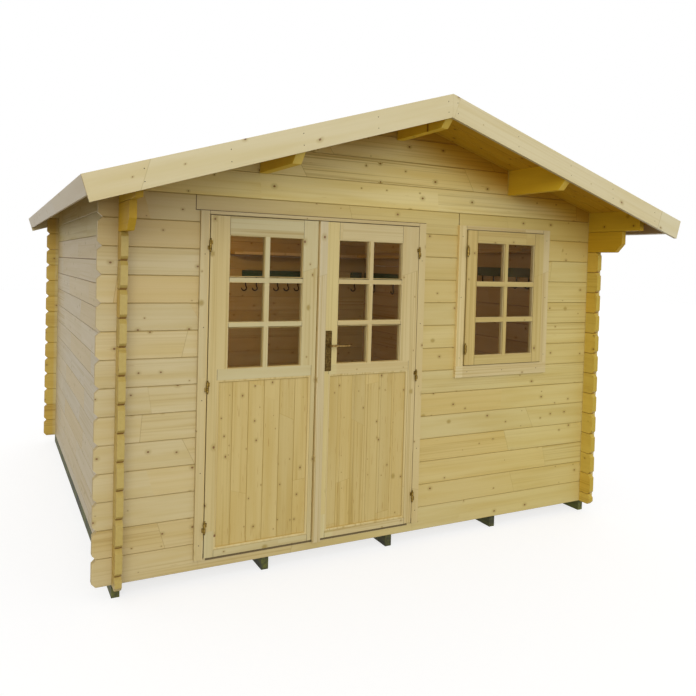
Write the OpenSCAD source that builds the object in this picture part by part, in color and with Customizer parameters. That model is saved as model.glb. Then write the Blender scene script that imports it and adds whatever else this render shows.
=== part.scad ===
// Garden shed of interlocking planed logs: gable front with double doors and one window.
// Millimetres. +Z is up and the front faces -Y. The origin is at ground level, in the
// middle of the roof's outline as seen from above.

/* [Walls] */
// Width over the outer faces of the two side walls
wall_w = 3190; // [2900:10:3800]
// Depth over the outer faces of the front and back walls
wall_d = 3260; // [2400:10:4200]
// Thickness of a log
log_t = 34; // [28:1:44]
// Height that each log covers
log_h = 140; // [137:1:143]
// How far the log ends stand past the crossing wall
log_over = 95; // [70:1:120]
// Bevel on the upper and lower corners of each log end
end_bevel = 22; // [6:1:30]
// Bevel along the edges of a log, which makes the V at each joint
v_bevel = 3.5; // [1:0.5:6]
// Gap left between logs for settling
settle = 0.4; // [0.2:0.1:0.8]

/* [Eave logs] */
// Reach of the lower eave log past the front wall
eave_low_front = 291; // [200:1:420]
// Reach of the lower eave log past the back wall
eave_low_rear = 170; // [120:1:240]
// Reach of the top eave log past the front wall
eave_top_front = 430; // [300:1:500]
// Long bevel under the ends of the lower eave log
eave_bevel = 56; // [20:1:70]

/* [Base] */
// Width of a bearer
bearer_w = 40; // [30:1:70]
// Height of a bearer
bearer_h = 65; // [40:1:100]
// Number of bearers
bearer_count = 5; // [3:1:8]
// Thickness of the floor boards
floor_t = 19; // [15:1:28]
// Gap round the floor and beside wall linings
fit_gap = 0.5; // [0.3:0.1:2]

/* [Roof] */
// Slope of the roof, in degrees
roof_angle = 17.4; // [12:0.1:19]
// Height of the roof boards' underside over the top full log, at the walls' outer faces
roof_rise = 53; // [45:1:60]
// Thickness of the roof boards
roof_t = 19; // [15:1:28]
// Reach of the roof past the side walls
side_over = 233; // [180:1:320]
// Reach of the roof past the front wall
front_over = 524; // [400:1:700]
// Reach of the roof past the back wall
rear_over = 300; // [220:1:400]
// Height of the bargeboards
barge_h = 118; // [80:1:145]
// Thickness of the bargeboards and eave fascias
barge_t = 20; // [14:1:28]
// Height of the eave fascias
fascia_h = 86; // [60:1:115]
// Width of a purlin
purlin_w = 45; // [34:1:60]
// Height of a side purlin at its middle, and of the ridge purlin
purlin_h = 150; // [110:1:170]
// Distance from the ridge to the middle of a side purlin
purlin_x = 850; // [700:1:1000]
// Long bevel under the front ends of the purlins
purlin_bevel = 52; // [20:1:80]

/* [Doors] */
// Outer edge of the left leaf, from the left wall's outer face
door_x = 457; // [380:1:480]
// Width of the left leaf
left_leaf_w = 612; // [560:1:640]
// Gap between the two leaves
meet_gap = 7; // [6:0.5:10]
// Width of the right leaf, which carries the cover strip
right_leaf_w = 660; // [600:1:680]
// Height of the leaves
leaf_h = 1793; // [1760:1:1795]
// Foot of the leaves, above the foot of the walls
leaf_z = 64; // [62:1:70]
// Thickness of the leaves
leaf_t = 40; // [34:1:44]
// How far the leaves stand out from the wall
leaf_proud = 22; // [14:1:26]
// Running gap round each leaf
leaf_gap = 5; // [5:0.5:8]
// Left edge of the panes, from the left leaf's left edge
left_pane_x = 104; // [80:1:115]
// Left edge of the panes, from the right leaf's left edge
right_pane_x = 127; // [100:1:140]
// Width of the panes in each leaf
each_pane_w = 421; // [380:1:430]
// Height of the top rail
top_rail_h = 100; // [80:1:120]
// Height of the middle rail
mid_rail_h = 57; // [45:1:80]
// Height of the bottom rail
bottom_rail_h = 36; // [30:1:80]
// Border beside the lower panel, on the hinge side
panel_border = 50; // [40:1:70]
// Left leaf's border beside the lower panel, at the meeting edge
left_meet_border = 24; // [15:1:70]
// Right leaf's border beside the lower panel, at the meeting edge
right_meet_border = 78; // [60:1:100]
// Height of the panes, from the middle rail to the top rail
pane_h = 703; // [600:1:720]
// Width of a glazing bar in the doors
door_bar_w = 26; // [18:1:34]
// Thickness of the lower panels' boards
panel_t = 18; // [12:1:22]
// Thickness of the glass
glass_t = 4; // [3:1:6]
// Thickness of the cover strip on the right leaf
strip_t = 14; // [8:1:20]
// Width of the cover strip
strip_w = 46; // [36:1:56]
// How far the cover strip hangs below the leaves
strip_drop = 14; // [4:1:16]

/* [Door frame] */
// Thickness of the frame's lining
frame_t = 20; // [16:1:28]
// Width of the trim that laps the logs
trim_w = 47; // [40:1:60]
// Thickness of the outer and inner trims
trim_t = 20; // [14:1:24]
// Thickness of the frame's head
head_t = 18; // [14:1:24]
// Height of the log strip left under the doors
sill_h = 57; // [40:1:60]
// Least height of log left over the doors
lintel_min = 40; // [30:1:60]
// Height of the threshold behind the leaves
threshold_h = 30; // [18:1:40]

/* [Hinges and handle] */
// Radius of a hinge barrel
barrel_r = 7; // [5:0.5:9]
// Height of one hinge knuckle
knuckle_h = 26; // [18:1:34]
// Radius of a hinge pin
pin_r = 3.5; // [2.5:0.25:4.5]
// Running clearance of the pins and the spindle
pin_play = 0.08; // [0.05:0.01:0.1]
// Middle of the lowest hinge, above the leaf's foot
hinge_foot = 163; // [120:1:220]
// Middle of the middle hinge, above the leaf's foot
hinge_mid = 900; // [800:1:1000]
// Middle of the top hinge, below the leaf's top
hinge_head = 155; // [120:1:220]
// Height of the handle plates
plate_h = 229; // [200:1:250]
// Width of the handle plates
plate_w = 42; // [34:1:46]
// Thickness of the handle plates
plate_t = 3; // [2:0.5:5]
// Middle of the handle plates, above the leaf's foot
plate_z = 1066; // [980:1:1120]
// Height of the lever, above the leaf's foot
lever_z = 1098; // [1040:1:1140]
// Length of the lever from the spindle
lever_len = 122; // [100:1:130]
// Radius of the lever's grip
lever_r = 5; // [4:0.5:9]
// Distance from the plate to the lever's middle
lever_stand = 44; // [36:1:54]

/* [Window] */
// Left edge of the sash, from the left wall's outer face
sash_x = 2097; // [2080:1:2200]
// Width of the sash
sash_w = 624; // [540:1:700]
// Height of the sash
sash_h = 848; // [760:1:855]
// Thickness of the sash
sash_t = 40; // [34:1:44]
// How far the sash stands out from its trim
sash_proud = 10; // [4:1:14]
// Width of the sash's stiles and rails
sash_stile = 75; // [55:1:85]
// Width of a glazing bar in the window
sash_bar_w = 26; // [18:1:34]
// How far the upper level bar sits below an even spacing
sash_bar_drop = 22; // [0:1:60]
// Width of the window's side trims
win_trim_w = 55; // [45:1:65]
// Height of the board below the sash
win_sill_h = 72; // [50:1:90]
// Distance of the joint over the pier from the window's opening
joint_in = 27; // [10:1:60]

/* [Inside] */
// Height of the shelves' undersides, above the foot of the walls
shelf_z = 1690; // [1500:1:1800]
// Depth of the shelves
shelf_d = 220; // [150:1:300]
// Left end of the back shelf, from the left wall's outer face
shelf_x = 1580; // [1200:10:2400]
// Front end of the right wall's back shelf, from the front wall's outer face
side_shelf_y = 1500; // [600:10:2400]
// Thickness of the shelves
shelf_t = 28; // [18:1:34]
// Height of the hook rails
rail_h = 72; // [50:1:100]
// Underside of the hook rails, above the foot of the walls
rail_z = 1460; // [1200:1:1500]
// Thickness of the hook rails
rail_t = 22; // [15:1:30]
// Left end of the hook rail on the back wall, from the left wall's outer face
rail_x = 1732; // [1200:1:2500]
// Start of the gap in that rail, from the left wall's outer face
rail_gap_x = 2745; // [2600:5:2800]
// Length of the gap
rail_gap = 234; // [50:1:280]
// Front end of the right wall's back rail, from the front wall's outer face
side_rail_y = 1500; // [1300:10:2000]
// Front end of the right wall's front shelf and rail, from the front wall's outer face
near_y = 430; // [300:10:600]
// Length of the front shelf and rail
near_len = 760; // [400:10:850]
// Height of the front shelf's underside, above the foot of the walls
near_shelf_z = 1746; // [1500:1:1800]
// Underside of the front rail, above the foot of the walls
near_rail_z = 1557; // [1400:1:1600]

/* [Hidden] */
$fn = 32;

// Main planes. Heights named *_h run from the foot of the walls, which is base_z up.
base_z = bearer_h;
xl = -wall_w / 2;
xr = wall_w / 2;
y0 = front_over - (front_over + wall_d + rear_over) / 2;
y1 = y0 + wall_d;
roof_y0 = y0 - front_over;
roof_y1 = y1 + rear_over;
slope = tan(roof_angle);
half_roof = wall_w / 2 + side_over;
quarter = log_h / 4;

// Door and window openings, measured from the left wall's outer face.
leaf_top = leaf_z + leaf_h;
door_x1 = door_x + left_leaf_w + meet_gap + right_leaf_w;
door_cut0 = door_x - leaf_gap - frame_t;
door_cut1 = door_x1 + leaf_gap + frame_t;
door_cut_top = leaf_top + leaf_gap + head_t;
sash_top = leaf_top - 1;
sash_z = sash_top - sash_h;
win_in0 = sash_x - leaf_gap;
win_in1 = sash_x + sash_w + leaf_gap;
win_cut0 = win_in0 - frame_t;
win_cut1 = win_in1 + frame_t;
win_in_top = sash_top + leaf_gap;
win_cut_top = win_in_top + head_t + leaf_gap;
lintel_joint = win_cut0 - joint_in;
split_x = door_x + left_leaf_w + meet_gap;
ledge = trim_w + 2;        // bearing of the lintel on its neighbours

// Whole logs up to the gable, beside the doors and below the window.
courses = ceil((door_cut_top + lintel_min) / log_h);
door_courses = courses - 1;
sill_courses = floor((sash_z - leaf_gap - frame_t) / log_h);
win_foot = sill_courses * log_h;

// Roof: heights above the walls' foot.
ridge_h = courses * log_h + roof_rise + wall_w / 2 * slope;
gable_courses = ceil((ridge_h - courses * log_h) / log_h);

wood = "burlywood";
pale_wood = "wheat";
brass = "goldenrod";
dark_metal = "dimgray";

function roof_under(x) = ridge_h - abs(x) * slope;

// ---------- logs ----------

// Cross-section of a log of height h: Y from 0 to its thickness, bevelled at the edges.
module log_section(h) {
    v = min(v_bevel, h / 4);
    polygon([
        [v, 0], [log_t - v, 0], [log_t, v], [log_t, h - v],
        [log_t - v, h], [v, h], [0, h - v], [0, v]
    ]);
}

// A log along X from x0 to x1, z0 to z1 above the wall's foot, its outer face at y = 0.
// Ends marked 1 are free log ends, with a bevel at each corner.
module log_x(x0, x1, z0, z1, free0 = 1, free1 = 1, bevel = end_bevel) {
    h = z1 - z0 - settle;
    b0 = free0 * min(bevel, h / 3);
    b1 = free1 * min(bevel, h / 3);
    translate([0, 0, z0 + settle / 2])
        intersection() {
            translate([x0, 0, 0])
                rotate([90, 0, 90])
                    linear_extrude(x1 - x0)
                        log_section(h);
            translate([0, log_t + 1, 0])
                rotate([90, 0, 0])
                    linear_extrude(log_t + 2)
                        polygon([
                            [x0 + b0, 0], [x1 - b1, 0], [x1, b1], [x1, h - b1],
                            [x1 - b1, h], [x0 + b0, h], [x0, h - b0], [x0, b0]
                        ]);
        }
}

// Slots that let the crossing walls' logs in, at the lower and upper edges of one log.
module notches(positions, z0, z1, low = true, high = true) {
    for (p = positions) {
        if (low)
            translate([p - fit_gap / 2, -1, z0 - 1])
                cube([log_t + fit_gap, log_t + 2, quarter + settle / 2 + 1]);
        if (high)
            translate([p - fit_gap / 2, -1, z1 - quarter - settle / 2])
                cube([log_t + fit_gap, log_t + 2, quarter + settle / 2 + 1]);
    }
}

// Logs number k0 to k1 - 1 of a front or back wall, between x0 and x1 from the left face.
module front_logs(x0, x1, k0, k1, free0 = 1, free1 = 1) {
    crossings = [for (p = [0, wall_w - log_t]) if (p > x0 && p < x1) p];
    for (k = [k0 : k1 - 1])
        difference() {
            log_x(x0, x1, k * log_h, (k + 1) * log_h, free0, free1);
            notches(crossings, k * log_h, (k + 1) * log_h);
        }
}

// Places a front wall's logs, drawn with their outer face at y = 0 and x from the left wall.
module on_front() translate([xl, y0, base_z]) children();

// The same for the back wall, whose outer face looks to +Y.
module on_back() translate([xl, y1, base_z]) mirror([0, 1, 0]) children();

// Side walls: their logs run along +X of the drawing, from the front wall's outer face.
module on_left() translate([xl, y0, base_z]) rotate(90) mirror([0, 1, 0]) children();
module on_right() translate([xr, y0, base_z]) rotate(90) children();

// One side wall log of a given span of heights.
module side_log(x0, x1, z0, z1, low = true, high = true) {
    difference() {
        log_x(x0, x1, z0, z1);
        notches([0, wall_d - log_t], z0, z1, low, high);
    }
}

// Side wall: half a log at the foot, then whole logs half a pitch above the front's.
module side_wall_logs() {
    side_log(-log_over, wall_d + log_over, 0, log_h / 2, false, true);
    for (k = [1 : door_courses - 1])
        side_log(-log_over, wall_d + log_over, (k - 0.5) * log_h, (k + 0.5) * log_h);
}

// Lower eave log, longer than the wall, with a long bevel under its ends, and the top
// log, longer still and planed to the roof's slope.
module eave_logs() {
    z_low = (door_courses - 0.5) * log_h;
    z_mid = z_low + log_h;
    z_top = z_mid + log_h;
    x0 = -eave_low_front;
    x1 = wall_d + eave_low_rear;
    difference() {
        log_x(x0, x1, z_low, z_mid, 0, 0);
        notches([0, wall_d - log_t], z_low, z_mid);
        for (end = [[x0, 1], [x1, -1]])
            translate([0, log_t + 1, z_low])
                rotate([90, 0, 0])
                    linear_extrude(log_t + 2)
                        polygon([
                            [end[0] - end[1], -1], [end[0] + end[1] * (eave_bevel + 1), -1],
                            [end[0] - end[1], eave_bevel + 1]
                        ]);
    }
    difference() {
        log_x(-min(eave_top_front, front_over - barge_t - fit_gap),
            wall_d + rear_over - barge_t - fit_gap,
            z_mid, z_top, 0, 0);
        notches([0, wall_d - log_t], z_mid, z_top);
        translate([-front_over - 1, 0, roof_under(xl) - settle])
            rotate([roof_angle, 0, 0])
                translate([0, -log_t, 0])
                    cube([front_over + wall_d + rear_over + 2, 4 * log_t, log_h]);
    }
}

// ---------- roof outline, drawn in X and height above the walls' foot ----------

// Everything under the roof boards.
module under_roof(drop = 0) {
    polygon([
        [-half_roof, roof_under(half_roof) - drop], [0, ridge_h - drop],
        [half_roof, roof_under(half_roof) - drop], [half_roof, 0], [-half_roof, 0]
    ]);
}

// Profile of a purlin whose middle is at x, its top planed to the roof.
module purlin_section(x, grow = 0) {
    w = purlin_w / 2 + grow;
    foot = roof_under(x) - purlin_h - grow;
    drop = settle - grow;
    if (x == 0)
        polygon([
            [-w, foot], [w, foot], [w, roof_under(w) - drop],
            [0, ridge_h - drop], [-w, roof_under(w) - drop]
        ]);
    else
        polygon([
            [x - w, foot], [x + w, foot],
            [x + w, roof_under(x + w) - drop], [x - w, roof_under(x - w) - drop]
        ]);
}

module purlin(x) {
    length = front_over + wall_d + rear_over - 2 * barge_t - 2 * fit_gap;
    foot = roof_under(x) - purlin_h;
    translate([0, roof_y0 + barge_t + fit_gap, base_z])
        difference() {
            translate([0, length, 0])
                rotate([90, 0, 0])
                    linear_extrude(length)
                        purlin_section(x);
            translate([x, 0, foot])
                rotate([45, 0, 0])
                    cube([purlin_w + 2, purlin_bevel * sqrt(2), purlin_bevel * sqrt(2)],
                        center = true);
        }
}

// Gable logs above the wall, planed to the roof and cut round the purlins. The lowest
// also laps over the side walls' top logs.
module gable_logs() {
    for (k = [courses : courses + gable_courses - 1])
        difference() {
            intersection() {
                log_x(-log_over, wall_w + log_over, k * log_h, (k + 1) * log_h, 0, 0);
                across_wall()
                    under_roof(settle);
            }
            if (k == courses)
                notches([0, wall_w - log_t], k * log_h, (k + 1) * log_h, true, false);
            for (x = [-purlin_x, 0, purlin_x])
                across_wall()
                    purlin_section(x, fit_gap);
        }
}

// Carries a shape drawn about the ridge line through the thickness of the front wall.
module across_wall()
    translate([wall_w / 2, log_t + 1, 0])
        rotate([90, 0, 0])
            linear_extrude(log_t + 2)
                children();

// Length of a slope along its top, from the ridge to the outside of the eave.
slope_len = half_roof / cos(roof_angle);
roof_top = ridge_h + roof_t / cos(roof_angle);

// Both slopes are drawn on the right and mirrored for the left.
module on_side(side) mirror([side < 0 ? 1 : 0, 0, 0]) children();

// Roof boards of one slope: side is -1 for the left and 1 for the right.
module roof_slab(side) {
    end = (slope_len - barge_t) * cos(roof_angle);
    end_top = roof_top - end * slope;
    on_side(side)
        translate([0, roof_y1 - barge_t, base_z])
            rotate([90, 0, 0])
                linear_extrude(roof_y1 - roof_y0 - 2 * barge_t)
                    polygon([
                        [0, ridge_h], [0, roof_top], [end, end_top],
                        [
                            end - roof_t * sin(roof_angle),
                            end_top - roof_t * cos(roof_angle)
                        ]
                    ]);
}

// A board whose top edge is flush with the top of the roof, from one distance down the
// slope to another.
module slope_board(y, height, thickness, from, to)
    translate([0, y, base_z + roof_top])
        rotate([0, roof_angle, 0])
            translate([from, 0, -height])
                cube([to - from, thickness, height]);

// Bargeboard with a plumb cut at the ridge.
module bargeboard(side, y)
    on_side(side)
        difference() {
            slope_board(y, barge_h, barge_t, -barge_h, slope_len);
            translate([settle / 2 - 2 * barge_h, y - 1, base_z + ridge_h - 2 * barge_h])
                cube([2 * barge_h, barge_t + 2, 4 * barge_h]);
        }

// Fascia along an eave, between the bargeboards, on the cut ends of the roof boards.
module fascia(side)
    on_side(side)
        slope_board(
            roof_y0 + barge_t + settle, fascia_h, roof_y1 - roof_y0 - 2 * (barge_t + settle),
            slope_len - barge_t + settle, slope_len
        );

// ---------- base ----------

module bearers() {
    color("olivedrab")
        for (i = [0 : bearer_count - 1])
            translate([
                xl + i * (wall_w - bearer_w) / (bearer_count - 1), y0, 0
            ])
                cube([bearer_w, wall_d, bearer_h - settle / 2]);
}

module floor_boards() {
    color(pale_wood)
        translate([xl + log_t + fit_gap, y0 + log_t + fit_gap, base_z])
            cube([wall_w - 2 * (log_t + fit_gap), wall_d - 2 * (log_t + fit_gap), floor_t]);
}

// ---------- front wall ----------

module front_sill_log() {
    color(wood)
        on_front()
            log_x(door_cut0 + fit_gap, door_cut1 - fit_gap, 0, sill_h, 0, 0);
}

module front_wall_left() {
    color(wood)
        on_front()
            front_logs(-log_over, door_cut0, 0, door_courses, 1, 0);
}

module front_wall_under_window() {
    color(wood)
        on_front()
            front_logs(door_cut1, wall_w + log_over, 0, sill_courses, 0, 1);
}

module front_wall_pier() {
    color(wood)
        on_front()
            front_logs(door_cut1, win_cut0, sill_courses, door_courses, 0, 0);
}

module front_wall_right_end() {
    color(wood)
        on_front()
            front_logs(win_cut1, wall_w + log_over, sill_courses, door_courses, 0, 1);
}

// The course over the openings: a ledged left piece, the lintel and the window's header.
module front_lintel_logs() {
    z0 = door_courses * log_h;
    z1 = courses * log_h;
    seat = door_cut_top - settle / 2;
    color(wood)
        on_front() {
            difference() {
                log_x(-log_over, door_cut0, z0, z1, 1, 0);
                notches([0], z0, z1);
                translate([door_cut0 - ledge - settle, -1, seat - settle])
                    cube([ledge + settle + 1, log_t + 2, log_h]);
            }
            difference() {
                log_x(door_cut0 - ledge, lintel_joint - 1, z0, z1, 0, 0);
                translate([door_cut0 - ledge - 1, -1, z0 - 1])
                    cube([door_cut1 - door_cut0 + ledge + 1, log_t + 2, seat - z0 + 1]);
            }
            difference() {
                log_x(lintel_joint + 1, wall_w + log_over, z0, z1, 0, 1);
                notches([wall_w - log_t], z0, z1);
                translate([win_cut0, -1, z0 - 1])
                    cube([win_cut1 - win_cut0, log_t + 2, win_cut_top - z0 + 1]);
            }
        }
}

module front_gable() color(wood) on_front() gable_logs();

// ---------- back and side walls ----------

module back_wall()
    color(wood)
        on_back()
            front_logs(-log_over, wall_w + log_over, 0, courses);

module back_gable() color(wood) on_back() gable_logs();

module left_wall() color(wood) on_left() side_wall_logs();
module right_wall() color(wood) on_right() side_wall_logs();
module left_eave_logs() color(wood) on_left() eave_logs();
module right_eave_logs() color(wood) on_right() eave_logs();

// ---------- roof ----------

module ridge_purlin() color(wood) purlin(0);
module left_purlin() color(wood) purlin(-purlin_x);
module right_purlin() color(wood) purlin(purlin_x);
module roof_boards_left() color(pale_wood) roof_slab(-1);
module roof_boards_right() color(pale_wood) roof_slab(1);
module front_bargeboard_left() color(pale_wood) bargeboard(-1, roof_y0);
module front_bargeboard_right() color(pale_wood) bargeboard(1, roof_y0);
module rear_bargeboard_left() color(pale_wood) bargeboard(-1, roof_y1 - barge_t);
module rear_bargeboard_right() color(pale_wood) bargeboard(1, roof_y1 - barge_t);
module left_fascia() color(pale_wood) fascia(-1);
module right_fascia() color(pale_wood) fascia(1);

// ---------- doors ----------

stop_y = -leaf_proud + leaf_t + leaf_gap;   // front of the rebate behind the leaves
stop_w = 17;                                // how far a stop stands behind a leaf
frame_back = log_t + trim_t;

// Plan of a jamb whose lining is at x = 0 to frame_t and whose leaf lies towards +X.
module jamb_plan() {
    lap = trim_w - frame_t;
    polygon([
        [-lap, -trim_t], [frame_t, -trim_t], [frame_t, stop_y], [frame_t + stop_w, stop_y],
        [frame_t + stop_w, stop_y + stop_w], [frame_t, stop_y + stop_w], [frame_t, frame_back],
        [-lap, frame_back], [-lap, log_t + fit_gap], [fit_gap, log_t + fit_gap],
        [fit_gap, -fit_gap], [-lap, -fit_gap]
    ]);
}

module jamb() {
    linear_extrude(door_cut_top - sill_h - 2 * settle)
        jamb_plan();
}

module door_frame() {
    side0 = door_cut0 + frame_t;
    side1 = door_cut1 - frame_t;
    foot = sill_h + settle;
    color(pale_wood)
        on_front() {
            translate([door_cut0, 0, foot]) jamb();
            translate([door_cut1, 0, foot]) mirror([1, 0, 0]) jamb();
            // head, with the stop for the leaves' tops
            translate([side0, -trim_t, leaf_top + leaf_gap])
                cube([side1 - side0, frame_back + trim_t, head_t - settle]);
            translate([side0, stop_y, leaf_top + leaf_gap - stop_w])
                cube([side1 - side0, stop_w, stop_w + 1]);
            // threshold, behind the leaves' feet
            translate([side0, stop_y, foot])
                cube([side1 - side0, frame_back - stop_y, threshold_h]);
        }
}

// Hinge axes, in the running gaps beside the leaves and in front of their faces.
axis_y = -leaf_proud - barrel_r - 1;
left_axis_x = door_x - leaf_gap / 2;
right_axis_x = door_x1 + leaf_gap / 2;
hinge_heights = [for (z = [hinge_foot, hinge_mid, leaf_h - hinge_head]) leaf_z + z];

// Knuckle fixed to the jamb, with the pin that the leaf's knuckle turns on.
// The plate that carries it lies on the side given by dir.
module jamb_knuckle(dir) {
    cylinder(r = barrel_r, h = knuckle_h, $fn = 48);
    cylinder(r = pin_r, h = 2 * knuckle_h, $fn = 48);
    foot_y = -trim_t - axis_y;
    translate([dir > 0 ? leaf_gap / 2 : -leaf_gap / 2 - 10, 0, 3])
        cube([10, foot_y, knuckle_h - 6]);
}

// Knuckle fixed to the leaf, bored for the pin.
module leaf_knuckle(dir) {
    foot_y = -leaf_proud - axis_y;
    difference() {
        union() {
            cylinder(r = barrel_r, h = knuckle_h - 1, $fn = 48);
            translate([dir > 0 ? leaf_gap / 2 : -leaf_gap / 2 - 10, 0, 3])
                cube([10, foot_y, knuckle_h - 6]);
        }
        translate([0, 0, -1])
            cylinder(r = pin_r + pin_play, h = knuckle_h + 1, $fn = 48);
    }
}

module jamb_hinges() {
    color(brass)
        on_front()
            for (z = hinge_heights) {
                translate([left_axis_x, axis_y, z - knuckle_h]) jamb_knuckle(-1);
                translate([right_axis_x, axis_y, z - knuckle_h]) jamb_knuckle(1);
            }
}

module left_door_hinges() {
    color(brass)
        on_front()
            for (z = hinge_heights)
                translate([left_axis_x, axis_y, z + 1]) leaf_knuckle(1);
}

module right_door_hinges() {
    color(brass)
        on_front()
            for (z = hinge_heights)
                translate([right_axis_x, axis_y, z + 1]) leaf_knuckle(-1);
}

pane_foot = leaf_h - top_rail_h - pane_h;    // above the leaf's foot
panel_top = pane_foot - mid_rail_h;

// A leaf of width w: its panes start at pane_x and its lower panel spans panel_x to
// panel_x1, all from the leaf's left edge.
module leaf(w, pane_x, panel_x, panel_x1) {
    bar_d = leaf_t * 0.4;
    difference() {
        cube([w, leaf_t, leaf_h]);
        translate([pane_x, -1, pane_foot])
            cube([each_pane_w, leaf_t + 2, pane_h]);
        translate([panel_x, -1, bottom_rail_h])
            cube([panel_x1 - panel_x, leaf_t + 2, panel_top - bottom_rail_h]);
        children();
    }
    for (y = [0, leaf_t - bar_d])
        translate([pane_x, y, pane_foot])
            glazing_bars(each_pane_w, bar_d, pane_h, door_bar_w);
}

// One upright bar and two level ones, across an opening w wide and h high; drop
// lowers the upper level bar, and the lower one by half as much.
module glazing_bars(w, d, h, bar, drop = 0) {
    translate([(w - bar) / 2, 0, -0.01])
        cube([bar, d, h + 0.02]);
    for (i = [1, 2])
        translate([-0.01, 0, i * h / 3 - bar / 2 - drop * i / 2])
            cube([w + 0.02, d, bar]);
}

// Lower panel and glass of a leaf, held in the middle of its thickness.
module leaf_panel(panel_x, panel_x1)
    translate([panel_x + settle, (leaf_t - panel_t) / 2, bottom_rail_h + settle])
        cube([
            panel_x1 - panel_x - 2 * settle, panel_t,
            panel_top - bottom_rail_h - 2 * settle
        ]);

module leaf_glass(pane_x)
    translate([pane_x + settle, (leaf_t - glass_t) / 2, pane_foot + settle])
        cube([each_pane_w - 2 * settle, glass_t, pane_h - 2 * settle]);

left_panel_x1 = left_leaf_w - left_meet_border;
right_panel_x1 = right_leaf_w - panel_border;

module on_left_leaf() on_front() translate([door_x, -leaf_proud, leaf_z]) children();
module on_right_leaf() on_front() translate([split_x, -leaf_proud, leaf_z]) children();

// Spindle of the lever, from the right leaf's left edge.
spindle_x = strip_w + plate_w / 2 + 4;
spindle_r = 8;
spindle_hole_r = 13;

module left_door_frame()
    color(pale_wood)
        on_left_leaf()
            leaf(left_leaf_w, left_pane_x, panel_border, left_panel_x1);
module left_door_panel()
    color(pale_wood)
        on_left_leaf()
            leaf_panel(panel_border, left_panel_x1);

module left_door_glass() color("lightblue", 0.4) on_left_leaf() leaf_glass(left_pane_x);

module right_door_frame()
    color(pale_wood)
        on_right_leaf()
            leaf(right_leaf_w, right_pane_x, right_meet_border, right_panel_x1)
                translate([spindle_x, -1, lever_z])
                    rotate([-90, 0, 0])
                        cylinder(r = spindle_hole_r, h = leaf_t + 2, $fn = 48);

module right_door_panel()
    color(pale_wood)
        on_right_leaf()
            leaf_panel(right_meet_border, right_panel_x1);

module right_door_glass() color("lightblue", 0.4) on_right_leaf() leaf_glass(right_pane_x);

module cover_strip()
    color(pale_wood)
        on_right_leaf()
            translate([0, -strip_t, -strip_drop])
                cube([strip_w, strip_t, leaf_h + strip_drop]);

module handle_plates() {
    color(dark_metal)
        on_right_leaf()
            for (y = [-plate_t, leaf_t])
                difference() {
                    translate([spindle_x - plate_w / 2, y, plate_z - plate_h / 2])
                        cube([plate_w, plate_t, plate_h]);
                    translate([spindle_x, y - 1, lever_z])
                        rotate([-90, 0, 0])
                            cylinder(r = spindle_r + pin_play, h = plate_t + 2, $fn = 48);
                }
}

module door_lever() {
    out = lever_stand + plate_t;
    color(dark_metal)
        on_right_leaf()
            translate([spindle_x, 0, lever_z]) {
                translate([0, -out, 0])
                    rotate([-90, 0, 0])
                        cylinder(r = spindle_r, h = leaf_t + 2 * out, $fn = 48);
                for (y = [-out, leaf_t + out])
                    translate([0, y, 0]) {
                        rotate([0, 90, 0])
                            cylinder(r = lever_r, h = lever_len - lever_r, $fn = 32);
                        translate([lever_len - lever_r, 0, 0])
                            sphere(r = lever_r, $fn = 32);
                        sphere(r = spindle_r, $fn = 32);
                    }
            }
}

// ---------- window ----------

sash_y = -trim_t - sash_proud;
sash_foot = sash_stile - 18;
sash_pane_w = sash_w - 2 * sash_stile;
sash_pane_h = sash_h - sash_foot - sash_stile;

// A box from x0 to x1, y0 to y1 and z0 to z1, drawn as on_front() places it.
module block(a, b) translate(a) cube(b - a);

module window_frame() {
    sill = sash_z - leaf_gap;
    foot = sill - win_sill_h;
    stop = sash_y + sash_t + fit_gap;
    top = win_cut_top - settle;
    color(pale_wood)
        on_front()
            difference() {
                union() {
                    // lining through the wall
                    block([win_cut0 + fit_gap, -trim_t, win_foot + settle],
                        [win_cut1 - fit_gap, frame_back, top]);
                    // trims that lap the logs, outside and inside
                    for (y = [[-trim_t, -fit_gap], [log_t + fit_gap, frame_back]])
                        block([win_in0 - win_trim_w, y[0], foot],
                            [win_in1 + win_trim_w, y[1], top]);
                }
                block([win_in0, -trim_t - 1, sill], [win_in1, stop, win_in_top]);
                block([win_in0 + stop_w, -trim_t - 1, sill + stop_w],
                    [win_in1 - stop_w, frame_back + 1, win_in_top - stop_w]);
            }
}

module window_sash() {
    bar_d = sash_t * 0.4;
    color(pale_wood)
        on_front()
            translate([sash_x, sash_y, sash_z]) {
                difference() {
                    cube([sash_w, sash_t, sash_h]);
                    translate([sash_stile, -1, sash_foot])
                        cube([sash_pane_w, sash_t + 2, sash_pane_h]);
                }
                for (y = [0, sash_t - bar_d])
                    translate([sash_stile, y, sash_foot])
                        glazing_bars(
                            sash_pane_w, bar_d, sash_pane_h, sash_bar_w,
                            sash_bar_drop
                        );
            }
}

module window_glass() {
    color("lightblue", 0.4)
        on_front()
            translate([
                sash_x + sash_stile + settle, sash_y + (sash_t - glass_t) / 2,
                sash_z + sash_foot + settle
            ])
                cube([sash_pane_w - 2 * settle, glass_t, sash_pane_h - 2 * settle]);
}

module window_hinges() {
    color(brass)
        on_front()
            for (z = [sash_z + 104, sash_z + sash_h - 132])
                translate([sash_x - leaf_gap / 2, sash_y - barrel_r - 1, z - knuckle_h]) {
                    cylinder(r = barrel_r, h = 2 * knuckle_h, $fn = 48);
                    translate([0, 0, 3])
                        cube([leaf_gap / 2 + 10, barrel_r + 1, 2 * knuckle_h - 6]);
                }
}

// ---------- inside ----------

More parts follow.
